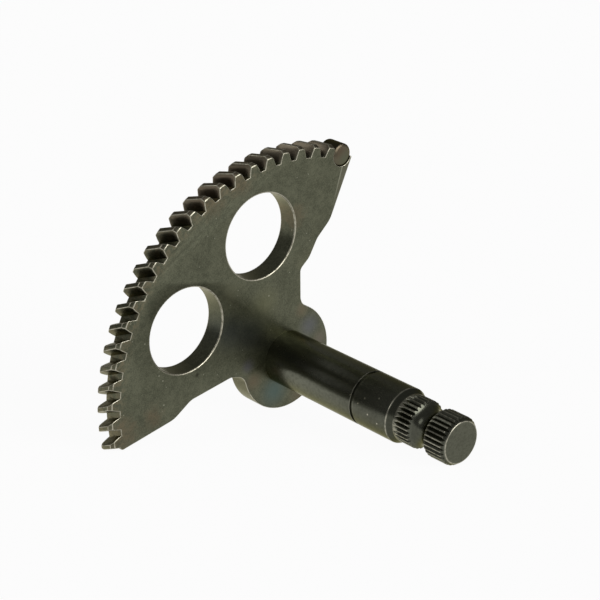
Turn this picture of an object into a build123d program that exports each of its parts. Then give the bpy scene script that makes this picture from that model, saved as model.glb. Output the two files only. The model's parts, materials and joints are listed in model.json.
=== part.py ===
from build123d import *
from math import acos, asin, atan, atan2, cos, degrees, pi, radians, sin, sqrt, tan
import os

# Kickstart shaft: a toothed quadrant fixed across one end of a turned shaft,
# with a stop pin at the end of its teeth and serrations for the kick lever.
# Sizes are in millimetres and angles in degrees.
#
# Every piece is drawn in the shaft's own frame. There Z is the shaft's axis,
# Z = 0 is the quadrant's front face, on the side that the shaft stands out of,
# and +Y points along the middle of the toothed arc.
# At the end the whole part is laid down as it comes to rest on a flat surface.

# Quadrant plate
plate_thickness = 7.0
hub_radius = 17.4
side_angle = 27.2
side_offset = 1.3
land_drop = 0.7
land_depth = 3.2
land_corner_radius = 1.1

# Two lightening holes, by the metal left outside and between them
hole_radius = 13.75
hole_rim_width = 6.65
web_between_holes = 9.7
hole_rim_chamfer = 0.25

# Teeth, cut as a sector of a full helical gear, seen in the plane of the plate.
# Towards the back face they lean over to the left.
gear_module = 2.0
full_circle_teeth = 67
pressure_angle = 20.0
helix_angle = 25.0
addendum = 2.1
dedendum = 1.8
rim_bevel = 1.0
tooth_overcut = 0.4
teeth_left_of_middle = 11
teeth_right_of_middle = 10

# Lower outline, from the straight sides in to the waist above the hub
knee_x = 40.1
knee_radius = 8.0
shelf_angle = 4.6
right_shelf_length = 7.2
left_shelf_length = 7.9
shelf_end_radius = 6.0
right_ramp_angle = 21.7
right_ramp_length = 6.1
left_ramp_angle = 28.6
ledge_angle = 1.7
ledge_radius = 5.0
waist_angle = 53.0
waist_inset = 9.6
right_waist_corner_radius = 2.1
left_waist_corner_radius = 1.5
waist_fillet_radius = 4.4

# Stop pin, which stands in the place of one more tooth at the right-hand end
pin_radius = 3.65
pin_length = 7.2
pin_drop = 0.6
pin_angle = 32.0
pin_end_bevel_width = 0.9
pin_end_bevel_depth = 0.4
pin_land_drop = 0.2
pin_land_corner_radius = 0.3

# Shaft
spigot_radius = 7.0
spigot_chamfer = 0.5
shaft_radius = 8.75
ring_groove_start = 38.6
ring_groove_width = 1.2
ring_groove_depth = 0.5
shoulder_z = 54.0
shoulder_taper_length = 1.8
shaft_end_z = 76.6

# Serrations and the neck that clears the lever's clamp bolt
serration_radius = 7.6
serration_count = 30
serration_depth = 0.75
serration_width = 1.25
serration_gap = 0.3
serration_runout = 1.6
serration_overcut = 0.1
neck_center_z = 65.3
neck_radius = 3.5
neck_side_angle = 53.0
neck_depth = 2.2
head_rear_chamfer = 0.35
end_chamfer_radial = 1.0
end_chamfer_length = 1.3

# Worked out from the sizes above
tooth_pitch = 360.0 / full_circle_teeth
pitch_radius = gear_module * full_circle_teeth / 2
base_radius = pitch_radius * cos(radians(pressure_angle))
tip_radius = pitch_radius + addendum
root_radius = pitch_radius - dedendum
land_radius = pitch_radius - land_drop
pin_land_radius = pitch_radius - pin_land_drop
pin_circle_radius = pitch_radius - pin_drop
hole_circle_radius = root_radius - hole_rim_width - hole_radius
hole_half_angle = degrees(asin((hole_radius + web_between_holes / 2) / hole_circle_radius))
middle_angle = 90.0
first_tooth_angle = middle_angle + teeth_left_of_middle * tooth_pitch
lean_per_mm = degrees(tan(radians(helix_angle)) / pitch_radius)
waist_foot_x = hub_radius - waist_inset
head_rim_z = shaft_end_z - end_chamfer_length
cut_margin = 1.0


def polar(radius, angle):
    return (radius * cos(radians(angle)), radius * sin(radians(angle)))


def involute(angle):
    """The involute function of a pressure angle in radians."""
    return tan(angle) - angle


def half_tooth_angle(radius):
    """Half the angle, in degrees, that a tooth spans at a radius."""
    at_pitch = pi / (2 * full_circle_teeth)
    here = involute(acos(base_radius / radius))
    return degrees(at_pitch + involute(radians(pressure_angle)) - here)


def tooth_section():
    """Involute tooth on the middle line, from under its root to past its tip."""
    foot_radius = root_radius - cut_margin
    top_radius = tip_radius + tooth_overcut
    steps = 4
    radii = [root_radius + (top_radius - root_radius) * i / steps for i in range(steps + 1)]
    right = [polar(r, middle_angle - half_tooth_angle(r)) for r in radii]
    left = [polar(r, middle_angle + half_tooth_angle(r)) for r in radii]
    foot_right = polar(foot_radius, middle_angle - half_tooth_angle(root_radius))
    foot_left = polar(foot_radius, middle_angle + half_tooth_angle(root_radius))
    with BuildLine() as outline:
        Line(foot_right, right[0])
        Spline(*right)
        Line(right[-1], left[-1])
        Spline(*reversed(left))
        Line(left[0], foot_left)
        Line(foot_left, foot_right)
    return make_face(outline.line)


def helical_tooth():
    """The tooth carried through the plate's thickness, turning as it goes."""
    front = tooth_section().face()
    back = Pos(0, 0, -plate_thickness) * Rot(0, 0, plate_thickness * lean_per_mm) * front
    return loft([front, back], ruled=True)


def side_point(radius):
    """Where the right-hand straight side meets a circle about the axis."""
    along = sqrt(radius**2 - side_offset**2)
    turn = radians(side_angle)
    return (
        along * cos(turn) - side_offset * sin(turn),
        along * sin(turn) + side_offset * cos(turn),
    )


def side_height(x):
    """Height of the right-hand straight side at a distance from the middle."""
    turn = radians(side_angle)
    return (side_offset + x * sin(turn)) / cos(turn)


def waist_crossing(x, y, slope_angle):
    """Where a line through (x, y) that falls inwards meets the waist line."""
    waist_slope = tan(radians(waist_angle))
    slope = tan(radians(slope_angle))
    cross_x = (y - slope * x + waist_slope * waist_foot_x) / (waist_slope - slope)
    return (cross_x, waist_slope * (cross_x - waist_foot_x))


def mirrored(point):
    return (-point[0], point[1])


def right_outline():
    """Straight side, knee, shelf, ramp, ledge and waist on the pin's side."""
    knee = (knee_x, side_height(knee_x))
    shelf_drop = tan(radians(shelf_angle)) * right_shelf_length
    shelf_end = (knee_x - right_shelf_length, knee[1] - shelf_drop)
    ramp_drop = tan(radians(right_ramp_angle)) * right_ramp_length
    ledge = (shelf_end[0] - right_ramp_length, shelf_end[1] - ramp_drop)
    waist_top = waist_crossing(*ledge, ledge_angle)
    points = [side_point(root_radius), knee, shelf_end, ledge, waist_top, (waist_foot_x, 0)]
    radii = [knee_radius, shelf_end_radius, ledge_radius, right_waist_corner_radius]
    return FilletPolyline(*points, radius=radii)


def left_outline():
    """Waist, long ramp, shelf, knee and straight side on the other side."""
    knee = (knee_x, side_height(knee_x))
    shelf_drop = tan(radians(shelf_angle)) * left_shelf_length
    shelf_end = (knee_x - left_shelf_length, knee[1] - shelf_drop)
    waist_top = waist_crossing(*shelf_end, left_ramp_angle)
    points = [(waist_foot_x, 0), waist_top, shelf_end, knee, side_point(root_radius)]
    radii = [left_waist_corner_radius, shelf_end_radius, knee_radius]
    return FilletPolyline(*[mirrored(p) for p in points], radius=radii)


def end_land(top_radius, corner_radius):
    """Uncut rim between the first tooth's outer flank and the straight side."""
    corner = mirrored(side_point(top_radius))
    inner = mirrored(side_point(root_radius - cut_margin))
    inner_start = polar(root_radius - cut_margin, first_tooth_angle)
    outer_start = polar(top_radius, first_tooth_angle)
    land_angle = degrees(atan2(corner[1], corner[0]))
    middle = polar(top_radius, (first_tooth_angle + land_angle) / 2)
    with BuildLine() as outline:
        Line(inner_start, outer_start)
        ThreePointArc(outer_start, middle, corner)
        Line(corner, inner)
        Line(inner, inner_start)
    land = make_face(outline.line)
    tip_corner = land.vertices().sort_by_distance(corner)[0]
    return fillet(tip_corner, corner_radius)


def pin_land():
    """The rim between the pin's bore and the other straight side."""
    return mirror(end_land(pin_land_radius, pin_land_corner_radius), about=Plane.YZ)


def web_outline():
    """The quadrant's flat outline without its teeth, hub and waist included."""
    with BuildLine() as lower:
        right_outline()
        Line((waist_foot_x, 0), (-waist_foot_x, 0))
        left_outline()
    right_end = side_point(root_radius)
    with BuildLine() as outline:
        add(lower.line)
        ThreePointArc(mirrored(right_end), (0, root_radius), right_end)
    web = make_face(outline.line) + Circle(hub_radius)
    waist = [v for v in web.vertices() if abs(v.center().length - hub_radius) < 1e-3]
    return fillet([v for v in waist if v.Y > 0], waist_fillet_radius)


def beyond_left_side():
    """The space past the left-hand straight side, where no tooth reaches."""
    far_x = tip_radius + cut_margin
    edge_in = (-knee_x, side_height(knee_x))
    edge_out = (-far_x, side_height(far_x))
    space = Polygon(edge_in, edge_out, (-far_x, 0), (-knee_x, 0), align=None)
    start = Pos(0, 0, -plate_thickness - cut_margin)
    return extrude(start * space, plate_thickness + 2 * cut_margin, dir=(0, 0, 1))


def bevelled_blank():
    """Disc as wide as the tooth tips, with both rims turned to a bevel."""
    disc = Pos(0, 0, -plate_thickness / 2) * Cylinder(tip_radius, plate_thickness)
    return chamfer(disc.edges(), rim_bevel)


def lightening_hole(side):
    """One round hole with its rim broken on both faces."""
    turn = middle_angle + side * hole_half_angle
    at = Pos(*polar(hole_circle_radius, turn), -plate_thickness / 2)
    hole = Cylinder(hole_radius, plate_thickness + 2 * cut_margin)
    rim = Cone(hole_radius, hole_radius + hole_rim_chamfer + cut_margin,
               hole_rim_chamfer + cut_margin)
    lift = (plate_thickness + cut_margin - hole_rim_chamfer) / 2
    return at * (hole + Pos(0, 0, lift) * rim + Pos(0, 0, -lift) * Rot(180, 0, 0) * rim)


def pin_cylinder(radius, length):
    """Cylinder in the pin's place, down from the plate's front face."""
    return Pos(*polar(pin_circle_radius, pin_angle), -length / 2) * Cylinder(radius, length)


def make_plate():
    plate = extrude(web_outline(), plate_thickness, dir=(0, 0, -1))
    plate += extrude(end_land(land_radius, land_corner_radius), land_depth, dir=(0, 0, -1))
    plate += extrude(pin_land(), plate_thickness, dir=(0, 0, -1))
    tooth = helical_tooth()
    steps = range(-teeth_right_of_middle, teeth_left_of_middle + 1)
    plate += [Rot(0, 0, step * tooth_pitch) * tooth for step in steps]
    plate &= bevelled_blank()
    plate -= beyond_left_side()
    bore_depth = plate_thickness + 2 * cut_margin
    plate -= Pos(0, 0, -plate_thickness / 2) * Cylinder(spigot_radius, bore_depth)
    plate -= Pos(0, 0, cut_margin) * pin_cylinder(pin_radius, bore_depth)
    for side in (-1, 1):
        plate -= lightening_hole(side)
    return plate


def make_pin():
    """Straight pin with wide flat bevels, flush in front and a little proud behind."""
    pin = pin_cylinder(pin_radius, pin_length)
    for end in (0, -1):
        face = pin.faces().filter_by(GeomType.PLANE).sort_by(Axis.Z)[end]
        pin = chamfer(face.edges(), pin_end_bevel_width, pin_end_bevel_depth, reference=face)
    return pin


def neck_side_start():
    """Where the neck's round bottom turns into its sloping sides."""
    turn = radians(neck_side_angle)
    return (
        serration_radius - neck_depth + neck_radius * (1 - cos(turn)),
        neck_radius * sin(turn),
    )


def neck_half_length(radius):
    """Half the length of the neck where its sloping side reaches a radius."""
    start_radius, start_half_length = neck_side_start()
    return start_half_length + (radius - start_radius) / tan(radians(neck_side_angle))


def turned_shaft():
    """The shaft before its serrations are cut, turned from one profile."""
    groove_radius = shaft_radius - ring_groove_depth
    groove_end = ring_groove_start + ring_groove_width
    neck_start = neck_center_z - neck_half_length(serration_radius)
    neck_floor = (serration_radius - neck_depth, neck_center_z)
    side_radius, side_half_length = neck_side_start()
    floor_start = (side_radius, neck_center_z - side_half_length)
    floor_end = (side_radius, neck_center_z + side_half_length)
    head_foot_radius = serration_radius - head_rear_chamfer
    head_foot = neck_center_z + neck_half_length(head_foot_radius)
    with BuildLine() as profile:
        Polyline(
            (0, -plate_thickness),
            (spigot_radius - spigot_chamfer, -plate_thickness),
            (spigot_radius, -plate_thickness + spigot_chamfer),
            (spigot_radius, 0),
            (shaft_radius, 0),
            (shaft_radius, ring_groove_start),
            (groove_radius, ring_groove_start),
            (groove_radius, groove_end),
            (shaft_radius, groove_end),
            (shaft_radius, shoulder_z),
            (serration_radius, shoulder_z + shoulder_taper_length),
            (serration_radius, neck_start),
            floor_start,
        )
        ThreePointArc(floor_start, neck_floor, floor_end)
        Polyline(
            floor_end,
            (head_foot_radius, head_foot),
            (serration_radius, head_foot + head_rear_chamfer),
            (serration_radius, head_rim_z),
            (serration_radius - end_chamfer_radial, shaft_end_z),
            (0, shaft_end_z),
            (0, -plate_thickness),
        )
    half_section = make_face(Plane.XZ * profile.line)
    return revolve(half_section, Axis.Z)


def serration_cutter(start, end, runout):
    """One V groove along the shaft, which rises out of it at its start."""
    outer = serration_radius + serration_overcut
    inner = serration_radius - serration_depth
    outer_half = serration_width / 2 * (outer - inner) / serration_depth
    full_depth_z = start + runout
    section = Polygon((inner, 0), (outer, -outer_half), (outer, outer_half), align=None)
    section = Pos(0, 0, full_depth_z) * section
    groove = extrude(section, end - full_depth_z, dir=(0, 0, 1))
    if runout > 0:
        rise_length = runout * (outer - inner) / serration_depth
        groove += loft([section.face(), Vertex(outer, 0, full_depth_z - rise_length)])
    return groove


def make_shaft():
    shaft = turned_shaft()
    band_start = shoulder_z + shoulder_taper_length + serration_gap
    inner_band = serration_cutter(band_start, neck_center_z, serration_runout)
    outer_band = serration_cutter(neck_center_z, shaft_end_z + cut_margin, 0)
    cutters = []
    for i in range(serration_count):
        turn = Rot(0, 0, i * 360 / serration_count)
        cutters.append(turn * inner_band)
        cutters.append(turn * outer_band)
    return shaft - cutters


def resting_place():
    """The plane of the surface that the part lies on, as found by geometry.

    It touches the hub's front edge, the rim of the serrated head and the tip
    of the first tooth, where that tooth ends at the plate's straight side.
    The first two give the shaft's slope and the third gives the roll.
    """
    slope = atan((hub_radius - serration_radius) / head_rim_z)
    tip_x, tip_y = mirrored(side_point(tip_radius))
    tip_angle = degrees(atan2(tip_y, tip_x))
    tooth_edge_angle = first_tooth_angle + half_tooth_angle(tip_radius)
    tip_depth = (tip_angle - tooth_edge_angle) / lean_per_mm
    reach = (hub_radius + tan(slope) * tip_depth) / tip_radius
    roll = tip_angle + degrees(acos(reach))
    down = Vector(*polar(cos(slope), roll), sin(slope))
    up = -down
    shaft_way = Vector(0, 0, 1)
    back = -(shaft_way - up * shaft_way.dot(up)).normalized()
    return Plane(origin=(0, 0, 0), x_dir=back.cross(up), z_dir=up)


def main():
    os.makedirs("parts", exist_ok=True)
    rest = resting_place()
    pieces = {
        "sector_plate": make_plate(),
        "kick_shaft": make_shaft(),
        "stop_pin": make_pin(),
    }
    for name, piece in pieces.items():
        export_step(rest.to_local_coords(piece), f"parts/{name}.step")


main()
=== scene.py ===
# %% [markdown]
# Kickstart shaft. A toothed steel quadrant sits across one end of a turned
# shaft, and the other end of the shaft is serrated for the kick lever. The
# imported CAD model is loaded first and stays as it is: it is the frame that
# everything below is fitted to. Lengths are in metres, as Blender has them,
# and the workshop sizes are given in millimetres and multiplied by mm.

# %% Load the frame
import json
from math import cos, pi, radians, sin, tan

import bmesh
import bpy
from mathutils import Matrix, Vector


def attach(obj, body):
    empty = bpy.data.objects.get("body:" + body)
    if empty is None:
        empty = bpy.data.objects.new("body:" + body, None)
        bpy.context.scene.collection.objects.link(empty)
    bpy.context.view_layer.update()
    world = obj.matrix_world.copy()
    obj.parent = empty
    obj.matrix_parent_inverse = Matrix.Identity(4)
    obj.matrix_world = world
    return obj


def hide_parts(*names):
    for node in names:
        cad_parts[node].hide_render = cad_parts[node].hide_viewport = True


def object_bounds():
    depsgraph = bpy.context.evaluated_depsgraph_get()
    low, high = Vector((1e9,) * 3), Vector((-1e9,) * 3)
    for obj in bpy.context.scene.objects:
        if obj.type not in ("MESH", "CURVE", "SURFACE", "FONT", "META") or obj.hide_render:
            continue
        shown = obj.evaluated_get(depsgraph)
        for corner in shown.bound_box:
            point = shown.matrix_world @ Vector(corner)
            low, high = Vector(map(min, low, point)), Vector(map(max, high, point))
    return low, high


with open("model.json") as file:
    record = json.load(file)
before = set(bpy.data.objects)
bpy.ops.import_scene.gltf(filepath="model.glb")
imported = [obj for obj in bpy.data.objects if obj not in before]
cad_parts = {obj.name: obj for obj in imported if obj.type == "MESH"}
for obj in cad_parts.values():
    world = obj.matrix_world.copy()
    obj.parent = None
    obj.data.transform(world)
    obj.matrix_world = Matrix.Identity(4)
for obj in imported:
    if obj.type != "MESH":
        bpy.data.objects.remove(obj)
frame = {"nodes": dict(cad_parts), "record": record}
cad_low, cad_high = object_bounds()
mm = 0.001
print("CAD box, mm:", [round(c / mm, 2) for c in (*cad_low, *cad_high)])

# %% [markdown]
# The part lies on a table, so its shaft is tilted and rolled in this frame.
# Shapes and patterns are far easier to describe along the shaft's own axis.
# The record's mounts give that axis and the middle of the toothed arc, and two
# directions are enough to build the matrix that carries one frame to the other.

# %% Find the shaft's own frame
mounts = {mount["name"]: mount for mount in frame["record"]["mounts"]}
shaft_axis = Vector(mounts["bearing_journal"]["axis"]).normalized()
to_teeth = Vector(mounts["gear_teeth"]["pos_m"])
arc_middle = (to_teeth - shaft_axis * to_teeth.dot(shaft_axis)).normalized()
across = arc_middle.cross(shaft_axis)
shaft_to_part = Matrix((across, arc_middle, shaft_axis)).transposed()
part_to_shaft = shaft_to_part.transposed()
print("Shaft axis:", [round(c, 4) for c in shaft_axis])

# %% [markdown]
# Materials and Geometry Nodes are both trees of nodes. One small maker class
# adds a node, gives it its settings and fills its sockets. A second class wraps
# a socket, so that an expression such as (1 - mask) * 0.3 writes its own Math
# nodes. That keeps a recipe readable as arithmetic.

# %% Helpers for node trees
class Value:
    """A number that varies over a piece: one output socket of a node."""

    def __init__(self, maker, socket):
        self.maker = maker
        self.socket = socket

    def math(self, operation, *others):
        inputs = dict(enumerate((self, *others)))
        made = self.maker.node("ShaderNodeMath", {"operation": operation}, inputs)
        return Value(self.maker, made.outputs[0])

    def __add__(self, other):
        return self.math("ADD", other)

    def __sub__(self, other):
        return self.math("SUBTRACT", other)

    def __rsub__(self, other):
        return self.math("MULTIPLY_ADD", -1.0, other)

    def __mul__(self, other):
        return self.math("MULTIPLY", other)

    def __truediv__(self, other):
        return self.math("DIVIDE", other)

    def __lt__(self, other):
        return self.math("LESS_THAN", other)

    def __gt__(self, other):
        return self.math("GREATER_THAN", other)

    __radd__ = __add__
    __rmul__ = __mul__


class Maker:
    """Adds nodes to one tree."""

    def __init__(self, tree):
        self.tree = tree

    def node(self, kind, settings=None, sockets=None):
        made = self.tree.nodes.new(kind)
        for name, setting in (settings or {}).items():
            setattr(made, name, setting)
        for name, content in (sockets or {}).items():
            socket = made.inputs[name]
            if isinstance(content, Value):
                self.tree.links.new(content.socket, socket)
            elif isinstance(content, bpy.types.NodeSocket):
                self.tree.links.new(content, socket)
            else:
                socket.default_value = content
        return made

    def value(self, kind, output=0, settings=None, sockets=None):
        """The same, but gives back one of the new node's outputs as a Value."""
        return Value(self, self.node(kind, settings, sockets).outputs[output])

    def coordinate(self, vector, axis):
        """One coordinate of a vector, along X, Y or Z."""
        return self.value("ShaderNodeSeparateXYZ", axis, None, {0: vector})

    def rise(self, value, start, end):
        """Goes smoothly from 0 to 1 while the value goes from start to end."""
        settings = {"interpolation_type": "SMOOTHSTEP"}
        sockets = {"Value": value, "From Min": start, "From Max": end}
        return self.value("ShaderNodeMapRange", "Result", settings, sockets)


print("Node helpers ready")

# %% [markdown]
# The shaft is turned, so its whole form is one half profile carried round an
# axis. A Screw modifier could do that, but the serrations at the free end need
# a rule of their own. Here Python draws the profile as a row of points, breaks
# its corners softly, and leaves the turning and the grooves to Geometry Nodes.
# Each point also says how far the black finish is rubbed off there.

# %% Draw the turned profile
plate_thickness = 7.0 * mm
spigot_radius = 7.0 * mm
spigot_chamfer = 0.5 * mm
shaft_radius = mounts["bearing_journal"]["dims"]["r_mm"] * mm
ring_groove_start = mounts["bearing_journal"]["dims"]["length_mm"] * mm
ring_groove_width = 1.2 * mm
ring_groove_depth = 0.5 * mm
shoulder_z = 54.0 * mm
shoulder_taper_length = 1.8 * mm
shaft_end_z = 76.6 * mm
serration_radius = 7.6 * mm
neck_center_z = 65.3 * mm
neck_radius = 3.5 * mm
neck_side_angle = radians(53.0)
neck_depth = 2.2 * mm
head_rear_chamfer = 0.35 * mm
end_chamfer_radial = 1.0 * mm
end_chamfer_length = 1.3 * mm
corner_break = 0.15 * mm
rounding_shares = (0.0, 0.33, 0.67, 1.0)


def profile_corners():
    """(radius, z, rubbed, steps to it) from the back end to the free end.

    A corner that is rubbed is also rounded, and one with 0 stays sharp.
    """
    groove_end = ring_groove_start + ring_groove_width
    groove_floor = shaft_radius - ring_groove_depth
    floor_radius = serration_radius - neck_depth
    side_radius = floor_radius + neck_radius * (1 - cos(neck_side_angle))
    side_half = neck_radius * sin(neck_side_angle)
    neck_half = side_half + (serration_radius - side_radius) / tan(neck_side_angle)
    foot_radius = serration_radius - head_rear_chamfer
    foot_half = side_half + (foot_radius - side_radius) / tan(neck_side_angle)
    corners = [
        (0, -plate_thickness, 0, 0),
        (spigot_radius - spigot_chamfer, -plate_thickness, 0.4, 1),
        (spigot_radius, -plate_thickness + spigot_chamfer, 0.4, 1),
        (spigot_radius, 0, 0, 1),
        (shaft_radius, 0, 0, 1),
        (shaft_radius, ring_groove_start, 0.3, 1),
        (groove_floor, ring_groove_start, 0, 1),
        (groove_floor, groove_end, 0, 1),
        (shaft_radius, groove_end, 0.3, 1),
        (shaft_radius, shoulder_z, 0.8, 1),
        (serration_radius, shoulder_z + shoulder_taper_length, 0, 2),
        (serration_radius, neck_center_z - neck_half, 0.4, 16),
        (side_radius, neck_center_z - side_half, 0, 8),
    ]
    arc_steps = 14
    for step in range(1, arc_steps):
        turn = neck_side_angle * (2 * step / arc_steps - 1)
        radius = floor_radius + neck_radius * (1 - cos(turn))
        corners.append((radius, neck_center_z + neck_radius * sin(turn), 0, 1))
    corners += [
        (side_radius, neck_center_z + side_half, 0, 1),
        (foot_radius, neck_center_z + foot_half, 0.4, 8),
        (serration_radius, neck_center_z + foot_half + head_rear_chamfer, 0.4, 3),
        (serration_radius, shaft_end_z - end_chamfer_length, 0.4, 4),
        (serration_radius - end_chamfer_radial, shaft_end_z, 0.9, 12),
        (0, shaft_end_z, 0, 1),
    ]
    return corners


def past_rounding(edge, beyond, corner, furthest=0.4):
    """A point just outside a rounding, where the finish is whole again."""
    return edge.lerp(beyond, min(furthest, corner_break / (beyond - corner).length))


def turned_profile():
    """(radius, z, rubbed) of the profile's points, with its rubbed corners rounded."""
    corners = profile_corners()
    points = []
    for index, (radius, z, rubbed, steps) in enumerate(corners):
        here = Vector((radius, z))
        target, at_corner = here, [(*here, 0)]
        if rubbed:
            before = Vector(points[-1][:2])
            after = Vector(corners[index + 1][:2])
            first = here + (before - here).normalized() * corner_break
            last = here + (after - here).normalized() * corner_break
            target = past_rounding(first, before, here)
            at_corner = [(*target, 0)]
            for t in rounding_shares:
                at_corner.append((*first.lerp(here, t).lerp(here.lerp(last, t), t), rubbed))
            at_corner.append((*past_rounding(last, after, here), 0))
        if steps > 1:
            start = Vector(points[-1][:2])
            points += [(*start.lerp(target, step / steps), 0) for step in range(1, steps)]
        points += at_corner
    return points


profile = turned_profile()
print("Profile points:", len(profile))

# %% [markdown]
# A mesh of loose points carries the profile into the node tree. Its radius is
# the point's X and its place along the axis is the point's Z, and the rubbing
# is stored beside them as an attribute.

# %% Make the profile an object
def profile_object(name, points):
    mesh = bpy.data.meshes.new(name)
    mesh.from_pydata([(radius, 0, z) for radius, z, rubbed in points], [], [])
    rubbing = mesh.attributes.new("rubbed", "FLOAT", "POINT")
    rubbing.data.foreach_set("value", [rubbed for radius, z, rubbed in points])
    made = bpy.data.objects.new(name, mesh)
    bpy.context.scene.collection.objects.link(made)
    return made


shaft = profile_object("shaft", profile)
print("Profile object has", len(shaft.data.vertices), "points")

# %% [markdown]
# Now the node tree. A flat grid is bent into a tube: its rows take the profile's
# radius and height, and its columns turn round the axis. Where a serration runs,
# a point may not stand further out than the V groove's own surface, which is a
# simple rule in the arc length from the nearest groove. Towards the shoulder
# the V rises until it leaves the metal, as the cutter did.

# %% Describe the V grooves
groove_inputs = [
    ("Groove count", "NodeSocketInt", 30),
    ("Steps per groove", "NodeSocketInt", 20),
    ("Crest radius", "NodeSocketFloat", serration_radius),
    ("Groove depth", "NodeSocketFloat", 0.75 * mm),
    ("Groove width", "NodeSocketFloat", 1.25 * mm),
    ("Groove start", "NodeSocketFloat", 0.0),
    ("Run-out", "NodeSocketFloat", 1.6 * mm),
]
clear_of_metal = 100


def groove_wall(sized, turn, height):
    """The V's surface, in groove depths: -1 along its middle and 0 at its edges."""
    in_groove = turn * sized("Groove count")
    from_middle = (in_groove - in_groove.math("ROUND")).math("ABSOLUTE")
    pitch = sized("Crest radius") * (2 * pi) / sized("Groove count")
    half_width = sized("Groove width") * 0.5
    along = (height - sized("Groove start")) / sized("Run-out")
    lift = (1 - along).math("MAXIMUM", 0.0) + (along < 0.0) * clear_of_metal
    return from_middle * pitch / half_width - 1 + lift


print("Inputs of the grooves:", [name for name, kind, size in groove_inputs])

# %% [markdown]
# Two attributes are stored for the finish: worn is high on crests and rubbed
# corners, and sunk is high down in the grooves. Seams and poles are merged at
# the end, so the solid is closed.

# %% Build the serration tree
near_crest = (-0.12, -0.01)
down_groove = (-0.10, -0.50)
crest_wear = 0.75
crest_slack = 0.02 * mm
cut_slack = 0.01 * mm
same_point = 0.001 * mm


def add_input(tree, name, kind, content=None):
    socket = tree.interface.new_socket(name=name, in_out="INPUT", socket_type=kind)
    if content is not None:
        socket.default_value = content


def read_profile(maker, profile, row, data_type, field):
    """What the profile's point in this row says."""
    settings = {"data_type": data_type, "domain": "POINT"}
    sockets = {"Geometry": profile, "Value": field, "Index": row}
    return maker.node("GeometryNodeSampleIndex", settings, sockets).outputs["Value"]


def store(maker, geometry, name, value):
    """The geometry, with a number kept on its points under a name."""
    settings = {"data_type": "FLOAT", "domain": "POINT"}
    sockets = {"Geometry": geometry, "Name": name, "Value": value}
    return maker.node("GeometryNodeStoreNamedAttribute", settings, sockets).outputs[0]


def serrated_shaft_tree(points_in_profile, material):
    tree = bpy.data.node_groups.new("Serrated shaft", "GeometryNodeTree")
    add_input(tree, "Profile", "NodeSocketGeometry")
    for name, kind, size in groove_inputs:
        add_input(tree, name, kind, size)
    tree.interface.new_socket(name="Shaft", in_out="OUTPUT", socket_type="NodeSocketGeometry")
    maker = Maker(tree)
    given = maker.node("NodeGroupInput").outputs

    def sized(name):
        return Value(maker, given[name])

    columns = sized("Groove count") * sized("Steps per groove")
    grid = maker.node("GeometryNodeMeshGrid", None, {
        "Size X": 1.0, "Size Y": 1.0,
        "Vertices X": columns + 1, "Vertices Y": points_in_profile,
    })
    index = maker.value("GeometryNodeInputIndex")
    column = ((index + 0.5) / points_in_profile).math("FLOOR")
    row = index - column * points_in_profile
    turn = column / columns

    where = maker.node("GeometryNodeInputPosition").outputs[0]
    place = read_profile(maker, given["Profile"], row, "FLOAT_VECTOR", where)
    radius, height = maker.coordinate(place, "X"), maker.coordinate(place, "Z")
    rubbing = maker.node(
        "GeometryNodeInputNamedAttribute", {"data_type": "FLOAT"}, {"Name": "rubbed"}
    ).outputs["Attribute"]
    rubbed = Value(maker, read_profile(maker, given["Profile"], row, "FLOAT", rubbing))

    wall = groove_wall(sized, turn, height)
    groove_surface = sized("Crest radius") + wall * sized("Groove depth")
    final_radius = radius.math("MINIMUM", groove_surface)
    grooved = wall < clear_of_metal / 2
    full_height = radius + crest_slack > sized("Crest radius")
    crest = maker.rise(wall, *near_crest) * grooved * full_height
    worn = rubbed.math("MAXIMUM", crest * crest_wear)
    sunk = maker.rise(wall, *down_groove) * (radius - final_radius > cut_slack)

    angle = turn * (2 * pi)
    position = maker.node("ShaderNodeCombineXYZ", None, {
        "X": final_radius * angle.math("COSINE"),
        "Y": final_radius * angle.math("SINE"),
        "Z": height,
    })
    stored = store(maker, grid.outputs["Mesh"], "worn", worn)
    stored = store(maker, stored, "sunk", sunk)
    bent = maker.node("GeometryNodeSetPosition", None, {
        "Geometry": stored, "Position": position.outputs[0],
    })
    merged = maker.node("GeometryNodeMergeByDistance", None, {
        "Geometry": bent.outputs[0], "Distance": same_point,
    })
    real = maker.node("GeometryNodeRealizeInstances", None, {"Geometry": merged.outputs[0]})
    coloured = maker.node("GeometryNodeSetMaterial", None, {
        "Geometry": real.outputs[0], "Material": material,
    })
    output = maker.node("NodeGroupOutput")
    tree.links.new(coloured.outputs[0], output.inputs["Shaft"])
    return tree


print("Serration tree described")

# %% [markdown]
# Every finish here is black-oxide steel, and what changes is how fine it is and
# how far it is rubbed. Patterns read the object's own coordinates, turned into
# the shaft's frame and scaled to millimetres, so a number in a recipe is a real
# size on the part. A Mapping node does that turn and scale. Bare metal goes
# white where it is seen at a flat angle, but oxide stays warm and dull. So each
# finish also has an edge tint, the colour that it goes to there.

# %% Helpers for finishes
def new_material(name):
    material = bpy.data.materials.new(name)
    material.use_nodes = True
    material.node_tree.nodes.clear()
    return material, Maker(material.node_tree)


def millimetre_place(maker):
    """Object coordinates in the shaft's frame, in millimetres."""
    coordinates = maker.node("ShaderNodeTexCoord").outputs["Object"]
    turned = {"Vector": coordinates, "Rotation": part_to_shaft.to_euler(), "Scale": (1 / mm,) * 3}
    return maker.node("ShaderNodeMapping", None, turned).outputs["Vector"]


def cloudy(maker, place, scale, detail=3.0, roughness=0.6):
    """Noise from about 0 to 1, with features of roughly 1 / scale millimetres."""
    sockets = {"Vector": place, "Scale": scale, "Detail": detail, "Roughness": roughness}
    return maker.value("ShaderNodeTexNoise", "Fac", None, sockets)


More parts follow.
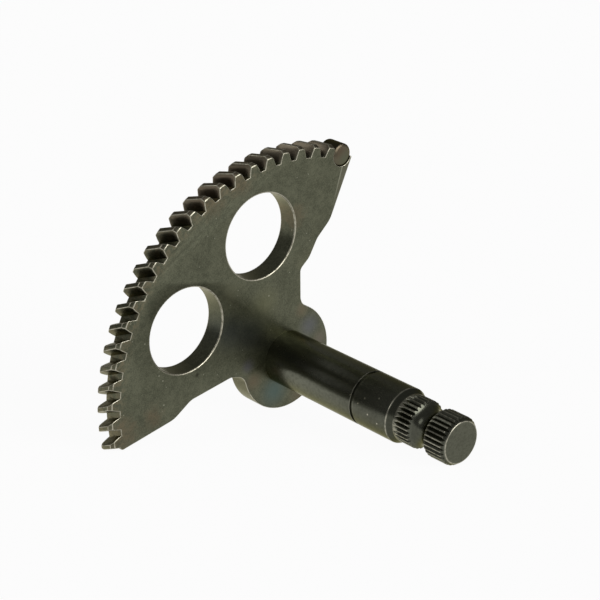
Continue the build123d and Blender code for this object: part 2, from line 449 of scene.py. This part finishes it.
def blend_colour(maker, amount, first, second):
    """From the first colour to the second while amount goes from 0 to 1."""
    made = maker.node("ShaderNodeMix", {"data_type": "RGBA"}, {"Factor": amount})
    for name, colour in (("A", first), ("B", second)):
        socket = next(s for s in made.inputs if s.name == name and s.type == "RGBA")
        if isinstance(colour, bpy.types.NodeSocket):
            maker.tree.links.new(colour, socket)
        else:
            socket.default_value = (*colour, 1.0)
    return next(s for s in made.outputs if s.type == "RGBA")


def distance_on_face(maker, place, centre):
    """How far a place is from a centre, seen along the shaft's axis."""
    flat = maker.node("ShaderNodeVectorMath", {"operation": "MULTIPLY"}, {0: place, 1: (1, 1, 0)})
    sockets = {0: flat.outputs[0], 1: (*centre, 0.0)}
    return maker.value("ShaderNodeVectorMath", "Value", {"operation": "DISTANCE"}, sockets)


def spot(maker, place, centre, radius, ragged, unevenness=1.2, full_within=0.25):
    """A round patch at a place, with a ragged edge."""
    distance = distance_on_face(maker, place, centre)
    distance = distance + (ragged - 0.5) * radius * unevenness
    return maker.rise(distance, radius, radius * full_within)


def soft_spot(maker, place, centre, radius, spread=1.3):
    """A patch that fades out slowly, as a temper colour does."""
    return maker.rise(distance_on_face(maker, place, centre), radius * spread, 0.0)


def fleck(maker, distance, outside=0.35, inside=0.15):
    """A dot of bare metal, about half a millimetre wide."""
    return maker.rise(distance, outside, inside)


def steel_surface(maker, colour, roughness, bump_height, bump_depth, edge_tint):
    """The shader that every finish here ends in."""
    bump = maker.node("ShaderNodeBump", None, {
        "Height": bump_height, "Distance": bump_depth, "Strength": 1.0,
    })
    shader = maker.node("ShaderNodeBsdfPrincipled", None, {
        "Base Color": colour, "Roughness": roughness, "Metallic": 1.0,
        "Normal": bump.outputs["Normal"], "Specular Tint": (*edge_tint, 1.0),
    })
    output = maker.node("ShaderNodeOutputMaterial")
    maker.tree.links.new(shader.outputs[0], output.inputs["Surface"])


print("Finish helpers ready")

# %% [markdown]
# The quadrant is heat treated and blackened: an olive grey with a fine grain,
# brown stains near the teeth and thin temper colours round the hub, where it
# was hottest. Two dark patches above the hub are a painted reflection of the
# shaft in the face. The colour is built up in layers, one function for each. In
# the first, noise at three scales gives grain, mottling and cloud, and the
# stains, tints and painted reflection are patches at the places where the
# photograph has them. Places are in millimetres to the right and upwards from
# the shaft's axis.

# %% Colour the quadrant's face
olive = (0.116, 0.119, 0.081)
dark_olive = (0.062, 0.065, 0.044)
olive_from = (0.37, 0.63)
brown = (0.125, 0.086, 0.052)
brown_stains = [
    ((-54, 35), 7), ((-44, 30), 5), ((31, 35), 6), ((24, 61), 6), ((14, 66), 8),
]
tints_and_painted_reflection = [
    ((-10.5, -5.0), 6.0, (0.075, 0.112, 0.105), 0.75),
    ((-4.0, -15.0), 5.0, (0.130, 0.105, 0.070), 0.6),
    ((-13.5, 5.0), 3.5, (0.132, 0.106, 0.070), 0.7),
    ((-11.5, 11.0), 2.8, (0.092, 0.090, 0.104), 0.7),
    ((12.5, 0.5), 4.5, (0.104, 0.108, 0.118), 0.7),
    ((12.5, -7.0), 3.5, (0.140, 0.120, 0.100), 0.6),
    ((14.0, 7.5), 3.0, (0.150, 0.118, 0.078), 0.5),
    ((5.5, 22.0), 6.0, (0.135, 0.135, 0.078), 0.5),
    # Painted reflection: these two dark patches above the hub stand for the shaft mirrored in the
    # face.
    ((-4.0, 19.0), 7.5, (0.050, 0.056, 0.054), 0.7),
    ((-8.5, 26.0), 7.0, (0.046, 0.052, 0.052), 0.7),
    ((-1.0, 36.0), 5.0, (0.165, 0.165, 0.112), 0.5),
    ((-25.5, 26.1), 0.9, (0.020, 0.020, 0.014), 0.8),
]


def stains_and_painted_reflection(maker, place, grain, mottle, cloud):
    shade = maker.rise(cloud * 0.25 + grain * 0.5 + mottle * 0.25, *olive_from)
    colour = blend_colour(maker, shade, dark_olive, olive)
    ragged = cloudy(maker, place, 0.35, 3.0)
    for centre, radius in brown_stains:
        stain = spot(maker, place, centre, radius, ragged)
        colour = blend_colour(maker, stain * mottle * 0.65, colour, brown)
    # Temper colours, and the painted reflection of the shaft above the hub.
    for centre, radius, tint_and_reflection_colour, amount in tints_and_painted_reflection:
        patch = soft_spot(maker, place, centre, radius)
        colour = blend_colour(maker, patch * amount, colour, tint_and_reflection_colour)
    return colour


print("Stains:", len(brown_stains), "tints:", len(tints_and_painted_reflection))

# %% [markdown]
# The metal round the teeth is browner than the rest, as the heat of hardening
# can leave it. A mottled band lies on the face beside them. The flanks of the
# upper teeth get a lighter brown, which is painted light where the lamps catch
# them. Both are found by their distance from the axis, and the flanks also by
# lying behind the front face.

# %% Colour the teeth
tooth_band = (62.0, 66.5)
tooth_band_patches = (0.42, 0.62)
tooth_band_fade = (42.0, 20.0)
tooth_band_brown = (0.142, 0.118, 0.074)
lit_flank_from_axis = (65.0, 66.5)
lit_flank_from_left = (-14.0, 12.0)
lit_flank_behind_face = (-0.1, -0.5)
painted_flank_light = (0.150, 0.118, 0.088)


def browned_teeth_and_lit_flanks(maker, place, mottle, colour):
    from_axis = distance_on_face(maker, place, (0, 0))
    to_right = maker.coordinate(place, "X")
    band = maker.rise(from_axis, *tooth_band) * maker.rise(mottle, *tooth_band_patches)
    band = band * maker.rise(to_right, *tooth_band_fade)
    colour = blend_colour(maker, band * 0.6, colour, tooth_band_brown)
    # Painted light: a lighter brown on the flanks of the upper teeth, towards the right.
    lit_flanks = maker.rise(from_axis, *lit_flank_from_axis) * maker.rise(to_right, *lit_flank_from_left)
    lit_flanks = lit_flanks * maker.rise(maker.coordinate(place, "Z"), *lit_flank_behind_face)
    return blend_colour(maker, lit_flanks * 0.6, colour, painted_flank_light)


print("Brown band from", tooth_band[0], "mm out")

# %% [markdown]
# Below the stop pin the quadrant's straight end is painted a little paler, in a
# strip with one light line: painted light on the end and a painted highlight
# along its edge. The strip is measured outwards from a line down the face,
# which starts at the pin's foot, and it fades with the distance below the pin.

# %% Paint light on the quadrant's end
strip_top = (54.2, 32.3)
strip_outwards = (0.569, -0.822)
strip_edge = (-0.1, 0.3)
strip_fade = (24.0, 4.0)
painted_strip_grey = (0.135, 0.128, 0.092)
line_edge = (0.35, 0.1)
line_fade = (14.0, 3.0)
pale_speck = (0.34, 0.34, 0.26)


def painted_end_light(maker, place, colour):
    below_pin = distance_on_face(maker, place, strip_top)
    along_way = maker.value("ShaderNodeVectorMath", "Value", {"operation": "DOT_PRODUCT"}, {
        0: place, 1: (*strip_outwards, 0.0),
    })
    outward = along_way - sum(a * b for a, b in zip(strip_top, strip_outwards))
    strip = maker.rise(outward, *strip_edge) * maker.rise(below_pin, *strip_fade)
    # Painted light: a paler strip on the quadrant's end below the pin.
    colour = blend_colour(maker, strip * 0.5, colour, painted_strip_grey)
    # Painted highlight: one light line along the end's edge.
    line = maker.rise(outward.math("ABSOLUTE"), *line_edge) * maker.rise(below_pin, *line_fade)
    return blend_colour(maker, line * 0.5, colour, pale_speck)


print("Worn strip starts at", strip_top, "mm")

# %% [markdown]
# Last come pale specks, where the oxide has flaked off in dots. A Voronoi
# texture gives each cell one point and one random colour, and the colour picks
# which cells get a speck. A few larger dots have places of their own.

# %% Finish the quadrant
speck_cells = 0.45
speck_chosen_above = 0.60
speck_size = (0.11, 0.05)
pale_dots = [(-39.3, 29.3), (-34.4, 35.8), (-34.2, 38.3), (-30.7, 50.7), (8.4, 22.7)]
plate_edge_tint = (1.0, 0.96, 0.76)


def flaked_specks(maker, place, colour):
    cells = maker.node("ShaderNodeTexVoronoi", None, {"Vector": place, "Scale": speck_cells})
    chosen = Value(maker, cells.outputs["Color"]) > speck_chosen_above
    speck = maker.rise(Value(maker, cells.outputs["Distance"]), *speck_size) * chosen
    for centre in pale_dots:
        dot = fleck(maker, distance_on_face(maker, place, centre))
        speck = speck.math("MAXIMUM", dot)
    return blend_colour(maker, speck * 0.55, colour, pale_speck)


def plate_finish():
    material, maker = new_material("black_oxide_plate")
    place = millimetre_place(maker)
    grain = cloudy(maker, place, 2.2, 2.0, 0.8)
    mottle = cloudy(maker, place, 0.6, 3.0)
    cloud = cloudy(maker, place, 0.16, 3.0)
    colour = stains_and_painted_reflection(maker, place, grain, mottle, cloud)
    colour = browned_teeth_and_lit_flanks(maker, place, mottle, colour)
    colour = painted_end_light(maker, place, colour)
    colour = flaked_specks(maker, place, colour)
    roughness = 0.34 + (cloud - 0.5) * 0.10 + (grain - 0.5) * 0.12
    steel_surface(maker, colour, roughness, grain, 0.012 * mm, plate_edge_tint)
    return material


plate_steel = plate_finish()
print("Finish:", plate_steel.name)

# %% [markdown]
# Handling and tumbling rub the oxide off every outer edge, which then shows as
# a thin bright line. The edges are real narrow faces in the mesh, so they can
# carry a material of their own: the same steel, mostly bare, with dark patches
# where the oxide has held.

# %% Finish the rubbed edges
edge_steel = (0.38, 0.36, 0.285)
held_oxide = (0.21, 0.20, 0.15)
rubbed_edge_tint = (1.0, 0.97, 0.85)


def rubbed_edge_finish():
    material, maker = new_material("rubbed_edge")
    place = millimetre_place(maker)
    held = maker.rise(cloudy(maker, place, 0.8, 3.0), 0.45, 0.70)
    colour = blend_colour(maker, held, edge_steel, held_oxide)
    grain = cloudy(maker, place, 3.0, 2.0)
    roughness = 0.32 + held * 0.12
    steel_surface(maker, colour, roughness, grain, 0.006 * mm, rubbed_edge_tint)
    return material


rubbed_edge = rubbed_edge_finish()
print("Finish:", rubbed_edge.name)

# %% [markdown]
# The shaft is ground before it is blackened, so it is smoother and glossier
# than the plate. The black lies a little unevenly and the colour gets darker
# towards the free end. At the foot of the shoulder, in the neck and at the end
# bevel it is darker still: that is painted shade, which keeps these faces dark
# where the lamps would light them. These are all bands along the shaft, so one
# number, the height along its axis, says where they are.

# %% Colour the shaft
shaft_grey = (0.120, 0.123, 0.097)
pale_shaft_grey = (0.160, 0.163, 0.127)
free_end_grey = (0.064, 0.066, 0.051)
painted_shade_black = (0.026, 0.027, 0.018)
uneven_black = (0.034, 0.035, 0.027)
darker_from = (18.0, 52.0)
lighter_again = (66.0, 74.0)
painted_shade_bands = [(54.3, 55.9, 0.5), (62.8, 67.8, 0.22), (75.6, 76.2, 0.5), (76.4, 77.0, 0.2)]
band_fade = 0.15


def shaft_colour_and_painted_shade(maker, place, grain, cloud, uneven):
    colour = blend_colour(maker, cloud * 0.6 + grain * 0.4, shaft_grey, pale_shaft_grey)
    height = maker.coordinate(place, "Z")
    darker = maker.rise(height, *darker_from) * (1 - maker.rise(height, *lighter_again) * 0.5)
    colour = blend_colour(maker, darker * 0.65, colour, free_end_grey)
    # Painted shade: dark bands on the shoulder's taper, the neck and the end bevel.
    for low, high, amount in painted_shade_bands:
        above = maker.rise(height, low - band_fade, low + band_fade)
        below = maker.rise(height, high + band_fade, high - band_fade)
        colour = blend_colour(maker, above * below * amount, colour, painted_shade_black)
    return blend_colour(maker, uneven * 0.35, colour, uneven_black)


print("Dark bands, mm:", [(low, high) for low, high, amount in painted_shade_bands])

# %% [markdown]
# The worn attribute that the node tree stored mixes in bare steel on the crests
# of the serrations and along the turned corners, and the sunk one keeps the
# grooves dark. Very fine rings from the grinding wheel run round the shaft: that
# is noise, pressed flat along the axis by a Mapping node. A few flecks sit on
# the journal, each at its own turn round the axis and height along it.

# %% Finish the shaft
groove_black = (0.046, 0.047, 0.031)
bare_steel = (0.42, 0.40, 0.32)
fleck_turns = ((127, 42.0), (118, 38.2), (100, 49.0), (140, 46.5), (112, 44.0), (150, 50.5))
pressed_flat = (0.02, 0.02, 6.0)
shaft_edge_tint = (0.66, 0.64, 0.48)


def bare_places(maker, place):
    """From 0 on whole finish to 1 on bare steel."""
    patchy = maker.rise(cloudy(maker, place, 0.9, 3.0), 0.30, 0.60)
    worn = maker.value("ShaderNodeAttribute", "Fac", {"attribute_name": "worn"})
    bare = worn * (patchy * 0.65 + 0.2)
    for turn, height in fleck_turns:
        side = Vector((cos(radians(turn)), sin(radians(turn)))) * (shaft_radius / mm)
        sockets = {0: place, 1: (*side, height)}
        away = maker.value("ShaderNodeVectorMath", "Value", {"operation": "DISTANCE"}, sockets)
        bare = bare.math("MAXIMUM", fleck(maker, away))
    return bare


def shaft_finish():
    material, maker = new_material("black_oxide_shaft")
    place = millimetre_place(maker)
    grain = cloudy(maker, place, 3.0, 3.0)
    cloud = cloudy(maker, place, 0.2, 2.0)
    uneven = maker.rise(cloudy(maker, place, 1.1, 4.0, 0.7), 0.40, 0.66)
    pressed = maker.node("ShaderNodeMapping", None, {"Vector": place, "Scale": pressed_flat})
    rings = cloudy(maker, pressed.outputs[0], 1.0, 4.0, 0.7)
    colour = shaft_colour_and_painted_shade(maker, place, grain, cloud, uneven)
    sunk = maker.value("ShaderNodeAttribute", "Fac", {"attribute_name": "sunk"})
    colour = blend_colour(maker, sunk * 0.12, colour, groove_black)
    colour = blend_colour(maker, bare_places(maker, place), colour, bare_steel)
    roughness = 0.21 + (cloud - 0.5) * 0.04 + rings * 0.04 + uneven * 0.04
    relief = rings + grain * 0.4
    steel_surface(maker, colour, roughness, relief, 0.004 * mm, shaft_edge_tint)
    return material


shaft_steel = shaft_finish()
print("Finish:", shaft_steel.name)

# %% [markdown]
# The stop pin is a hardened pin pressed through the plate. Its end is brown at
# the top and olive below, with a painted shadow in a dark spot up on its left.
# Round its side and in the crescent at its foot it is painted dark: painted
# shade where the side turns from the light and the gap to the bore lies in
# shadow.

# %% Finish the stop pin
pin_circle = 66.4
pin_angle = radians(32.0)
pin_centre = (pin_circle * cos(pin_angle), pin_circle * sin(pin_angle))
pin_grey = (0.092, 0.082, 0.056)
pale_pin_grey = (0.112, 0.100, 0.068)
pin_tints_and_painted_shadow = [
    ((0.0, 2.0), 3.0, (0.092, 0.071, 0.048), 0.9),
    ((0.0, -2.0), 3.0, (0.095, 0.099, 0.066), 0.9),
    # Painted shadow: a dark spot on the pin's end, up and to the left.
    ((-1.8, 2.4), 1.2, (0.050, 0.044, 0.030), 0.6),
]
pin_rim = (3.3, 3.6)
foot_crescent = (2.8, 3.35)
pin_painted_shade = (0.036, 0.033, 0.020)
pin_edge_tint = (0.7, 0.66, 0.5)


def pin_finish():
    material, maker = new_material("black_oxide_pin")
    place = millimetre_place(maker)
    grain = cloudy(maker, place, 2.0, 3.0)
    colour = blend_colour(maker, grain, pin_grey, pale_pin_grey)
    for (right, up), radius, shade, amount in pin_tints_and_painted_shadow:
        patch = soft_spot(maker, place, (pin_centre[0] + right, pin_centre[1] + up), radius)
        colour = blend_colour(maker, patch * amount, colour, shade)
    # Painted shade: darker round the pin's side and in the crescent at its foot.
    out = distance_on_face(maker, place, pin_centre)
    foot = maker.rise(maker.coordinate(place, "Y"), pin_centre[1] + 0.2, pin_centre[1] - 2.0)
    painted_rim_shade = maker.rise(out, *pin_rim).math("MAXIMUM", maker.rise(out, *foot_crescent) * foot)
    colour = blend_colour(maker, painted_rim_shade * 0.85, colour, pin_painted_shade)
    roughness = 0.34 + (grain - 0.5) * 0.1
    steel_surface(maker, colour, roughness, grain, 0.008 * mm, pin_edge_tint)
    return material


pin_steel = pin_finish()
print("Finish:", pin_steel.name)

# %% [markdown]
# With the materials there, the node tree can turn the shaft. The modifier is
# evaluated once, its result is kept as a plain mesh, and that mesh is turned
# from the shaft's frame into the part's frame. Faces that bend by more than a
# few degrees stay crisp, and the rest is shaded smoothly.

# %% Turn the shaft
smooth_up_to = radians(24)
serration_gap = 0.3 * mm


def plain_mesh(made, name):
    """The evaluated object as a plain mesh, without its modifiers."""
    bpy.context.view_layer.update()
    graph = bpy.context.evaluated_depsgraph_get()
    mesh = bpy.data.meshes.new_from_object(made.evaluated_get(graph), depsgraph=graph)
    mesh.name = name
    made.modifiers.clear()
    made.data = mesh
    return mesh


def finish_shading(mesh):
    mesh.shade_smooth()
    mesh.set_sharp_from_angle(angle=smooth_up_to)


def turn_shaft():
    tree = serrated_shaft_tree(len(profile), shaft_steel)
    modifier = shaft.modifiers.new("Serrated shaft", "NODES")
    modifier.node_group = tree
    groove_start = tree.interface.items_tree["Groove start"].identifier
    modifier[groove_start] = shoulder_z + shoulder_taper_length + serration_gap
    mesh = plain_mesh(shaft, "turned_shaft")
    mesh.transform(shaft_to_part.to_4x4())
    work = bmesh.new()
    work.from_mesh(mesh)
    bmesh.ops.recalc_face_normals(work, faces=work.faces)
    open_edges = sum(not edge.is_manifold for edge in work.edges)
    work.to_mesh(mesh)
    work.free()
    finish_shading(mesh)
    print("Shaft faces:", len(mesh.polygons), "open edges:", open_edges)


turn_shaft()
shaft.name = "turned_shaft"
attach(shaft, "root")
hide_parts("kick_shaft")

# %% [markdown]
# The quadrant and the pin already have their right shapes in the CAD model, but
# their edges are perfectly sharp and would catch no light. A copy of each is
# merged into whole faces and only its outer edges are broken. On the quadrant
# that is a narrow bevel, whose faces get the rubbed finish as a second
# material. The pin's ends are rounded more, and stay in the pin's own finish.
# Hollow corners such as the tooth roots are left sharp and dark. Where two
# bevels meet in one point, the points on top of each other are merged again.

# %% Break the edges of the quadrant and the pin
outer_edge_from = radians(22)
flat_within = radians(0.4)
same_point_in_cad = 0.002 * mm
plate_edge_width = 0.18 * mm
pin_edge_width = 0.34 * mm


def break_edges(node, name, width, steps, finishes):
    work = bmesh.new()
    work.from_mesh(frame["nodes"][node].data)
    bmesh.ops.remove_doubles(work, verts=work.verts, dist=same_point_in_cad)
    bmesh.ops.dissolve_limit(
        work, angle_limit=flat_within, verts=work.verts, edges=work.edges
    )
    outer = [
        edge for edge in work.edges
        if edge.is_manifold and edge.calc_face_angle_signed() > outer_edge_from
    ]
    bmesh.ops.bevel(
        work, geom=outer, offset=width, offset_type="OFFSET", segments=steps, profile=0.5,
        affect="EDGES", clamp_overlap=False, material=1,
    )
    bmesh.ops.remove_doubles(work, verts=work.verts, dist=same_point)
    open_edges = sum(not edge.is_manifold for edge in work.edges)
    mesh = bpy.data.meshes.new(name)
    work.to_mesh(mesh)
    work.free()
    for material in finishes:
        mesh.materials.append(material)
    finish_shading(mesh)
    made = bpy.data.objects.new(name, mesh)
    bpy.context.scene.collection.objects.link(made)
    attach(made, "root")
    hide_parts(node)
    print(name, "broken edges:", len(outer), "faces:", len(mesh.polygons),
          "open edges:", open_edges)


break_edges(
    "sector_plate", "toothed_quadrant", plate_edge_width, 2,
    (plate_steel, rubbed_edge),
)
break_edges(
    "stop_pin", "quadrant_stop_pin", pin_edge_width, 4,
    (pin_steel, pin_steel),
)

# %% [markdown]
# The part lies on a white table. The table's own colour is what makes the
# picture white: nearly all of what the camera and the reflections see is that
# white, and the small rest is lit, which keeps a faint shadow under the part.

# %% Lay the table
table_radius = 60.0
table_sides = 96
table_grey = (0.93, 0.93, 0.93, 1.0)
white = (1.0, 1.0, 1.0, 1.0)
white_share = 0.95


def table_finish():
    material, maker = new_material("white_table")
    path = maker.node("ShaderNodeLightPath").outputs
    seen = Value(maker, path["Is Camera Ray"]) + Value(maker, path["Is Glossy Ray"])
    seen = (seen + Value(maker, path["Is Transmission Ray"])) > 0.5
    matt = maker.node("ShaderNodeBsdfDiffuse", None, {"Color": table_grey})
    glow = maker.node("ShaderNodeEmission", None, {"Color": white, "Strength": 1.0})
    mixed = maker.node("ShaderNodeMixShader", None, {
        0: seen * white_share, 1: matt.outputs[0], 2: glow.outputs[0],
    })
    output = maker.node("ShaderNodeOutputMaterial")
    maker.tree.links.new(mixed.outputs[0], output.inputs["Surface"])
    return material


def lay_table():
    turns = [2 * pi * side / table_sides for side in range(table_sides)]
    ring = [(table_radius * cos(t), table_radius * sin(t), cad_low.z) for t in turns]
    mesh = bpy.data.meshes.new("table")
    mesh.from_pydata(ring, [], [tuple(range(table_sides))])
    mesh.materials.append(table_finish())
    made = bpy.data.objects.new("table", mesh)
    bpy.context.scene.collection.objects.link(made)


lay_table()
print("Table at", round(cad_low.z / mm, 2), "mm")

# %% [markdown]
# The main soft light stands low in front of the part, so the top of the shaft
# and the small bevels on the tooth tips reflect the dim room and stay dark. A
# weak one up on the left lights the flanks of the upper teeth. The table lights
# the quadrant's face and the lower side of the shaft.

# %% Set the light
room_light = 0.22


def soft_lamp(name, energy, width, way):
    """A sun that shines from a way, as wide in degrees as a softbox looks."""
    lamp = bpy.data.lights.new(name, "SUN")
    lamp.energy = energy
    lamp.angle = radians(width)
    made = bpy.data.objects.new(name, lamp)
    made.rotation_euler = Vector(way).to_track_quat("Z", "Y").to_euler()
    bpy.context.scene.collection.objects.link(made)


def light_studio():
    soft_lamp("front_softbox", 2.0, 40, (0.2, -0.93, 0.30))
    soft_lamp("left_softbox", 0.4, 30, (-0.8, 0.0, 0.6))
    world = bpy.data.worlds.new("studio")
    world.use_nodes = True
    background = world.node_tree.nodes["Background"]
    background.inputs["Color"].default_value = white
    background.inputs["Strength"].default_value = room_light
    bpy.context.scene.world = world


light_studio()
print("Light set")

# %% [markdown]
# The camera stands where the photographer stood: in front and to the left of
# the part, a little above it, with a long lens. Its place and direction come
# from matching the holes, the teeth and the shaft, and it is rolled by half a
# degree about its own axis.

# %% Place the camera
camera_place = Vector((-361.98, -412.18, 158.16)) * mm
camera_azimuth = radians(41.754)
camera_drop = radians(14.282)
camera_roll = radians(-0.477)
picture_width = 600
focal_pixels = 1796.7
sensor_width = 36.0
nearest_seen = 0.01
furthest_seen = 200.0


def place_camera():
    data = bpy.data.cameras.new("photo_camera")
    data.sensor_width = sensor_width
    data.lens = sensor_width * focal_pixels / picture_width
    data.clip_start = nearest_seen
    data.clip_end = furthest_seen
    made = bpy.data.objects.new("photo_camera", data)
    level = cos(camera_drop)
    ahead = Vector((
        sin(camera_azimuth) * level, cos(camera_azimuth) * level, -sin(camera_drop)
    ))
    turn = ahead.to_track_quat("-Z", "Y").to_matrix() @ Matrix.Rotation(camera_roll, 3, "Z")
    made.matrix_world = Matrix.Translation(camera_place) @ turn.to_4x4()
    bpy.context.scene.collection.objects.link(made)
    bpy.context.scene.camera = made
    print("Lens, mm:", round(data.lens, 2))


place_camera()

# %% [markdown]
# Last, the colours are shown as they are.

# %% Finish
bpy.context.scene.view_settings.view_transform = "Standard"
